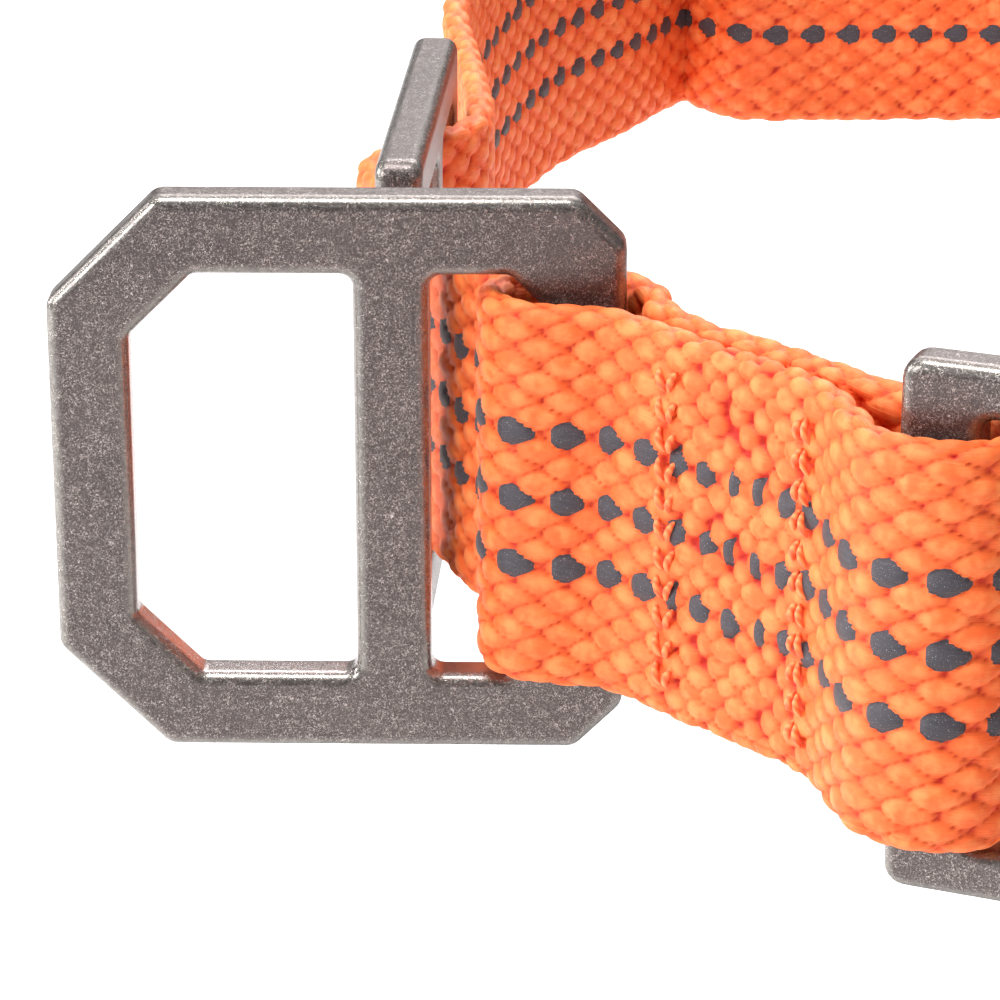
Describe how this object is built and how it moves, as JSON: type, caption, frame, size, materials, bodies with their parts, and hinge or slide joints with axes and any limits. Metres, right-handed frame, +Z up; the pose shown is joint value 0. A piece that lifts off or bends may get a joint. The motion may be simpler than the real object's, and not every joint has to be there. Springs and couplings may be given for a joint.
{
  "type": "tree climbing spur",
  "caption": "Tree climbing spur for the right leg: shank with stirrup and gaff, an open woven ankle strap with an eight-sided ring, and a padded calf cuff.",
  "frame": {"origin": "middle of the stirrup's top face, where the boot's sole rests", "axes": "+Z up the leg, -Y towards the toe, +X towards the inner side of the leg, where the shank stands"},
  "size_m": [0.1374, 0.1596, 0.3991],
  "materials": {
    "tumbled_steel": "tumbled, fine worm-like scratches, edges worn bright",
    "forged_alloy": "satin dark coating",
    "gaff_steel": "forged and ground",
    "bolt_steel": "zinc plated",
    "orange_webbing": "coarse woven nylon with three rows of grey dashes",
    "black_plastic": "fine grained",
    "pad_fabric": "knitted mesh over foam"
  },
  "bodies": {
    "spur": {"shank": "forged_alloy", "gaff": "gaff_steel", "gaff_washer_lower": "bolt_steel", "gaff_washer_upper": "bolt_steel", "gaff_bolt_lower": "bolt_steel", "gaff_bolt_upper": "bolt_steel", "strap_bracket": "tumbled_steel", "bracket_screw_lower": "bolt_steel", "bracket_screw_upper": "bolt_steel", "ring_band": "orange_webbing", "slider": "tumbled_steel", "ankle_strap": "orange_webbing", "height_washer_lower": "bolt_steel", "height_washer_upper": "bolt_steel", "height_bolt_lower": "bolt_steel", "height_bolt_upper": "bolt_steel"},
    "calf_cuff": {"height_bar": "forged_alloy", "cuff_shell": "black_plastic", "cuff_pad": "pad_fabric", "cuff_screw_lower": "bolt_steel", "cuff_screw_upper": "bolt_steel", "cuff_nut_lower": "bolt_steel", "cuff_nut_upper": "bolt_steel", "calf_strap": "orange_webbing"},
    "ring": {"ring": "tumbled_steel"},
    "link": {"link": "tumbled_steel"}
  },
  "joints": [
    {"name": "cuff_height", "type": "slide", "parent": "spur", "child": "calf_cuff", "axis": [0, 0, 1], "range_m": [0, 0.036]},
    {"name": "ring_swing", "type": "hinge", "parent": "spur", "child": "ring", "pos_m": [-0.0308, -0.0426, 0.1], "axis": [0, 0, 1], "range_deg": [-20, 20]},
    {"name": "link_swing", "type": "hinge", "parent": "spur", "child": "link", "pos_m": [-0.00027, -0.0709, 0.1], "axis": [0, 0, 1], "range_deg": [-3, 3]}
  ]
}
